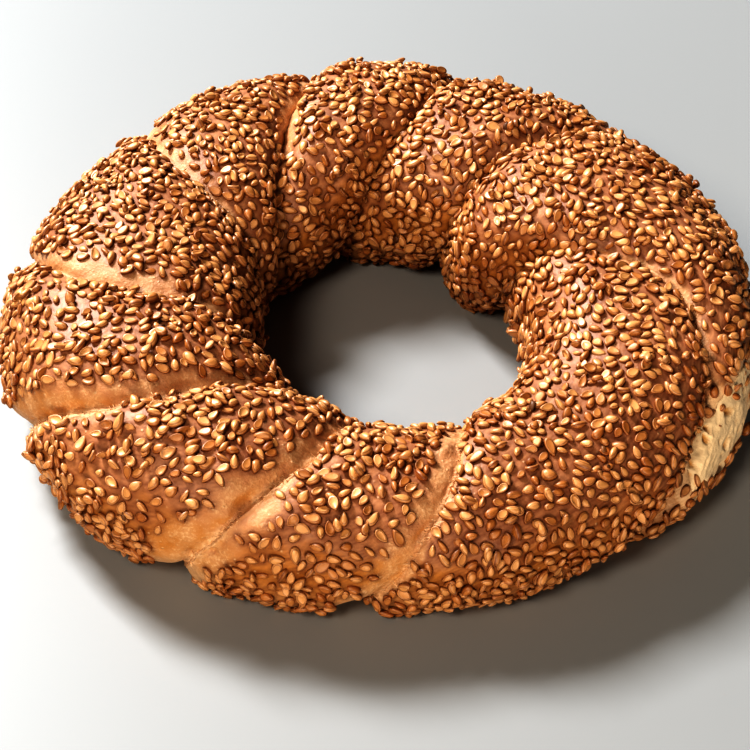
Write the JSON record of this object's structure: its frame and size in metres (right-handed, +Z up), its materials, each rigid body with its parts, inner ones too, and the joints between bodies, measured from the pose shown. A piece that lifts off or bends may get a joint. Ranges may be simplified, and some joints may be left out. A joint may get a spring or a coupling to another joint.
{
  "type": "simit",
  "caption": "Ring of bread twisted from two ropes of dough, with a browned crust covered in sesame seeds and a wide hole through the middle.",
  "frame": {"origin": "middle of the ring's outline, on the surface that its flat underside rests on", "axes": "+Z up, +X to the right in the picture, +Y away from the viewer"},
  "size_m": [0.17, 0.167, 0.0406],
  "materials": {
    "crust": "satin",
    "sesame": "satin",
    "crumb": "matte"
  },
  "bodies": {
    "root": {"simit": "crust"}
  },
  "joints": []
}
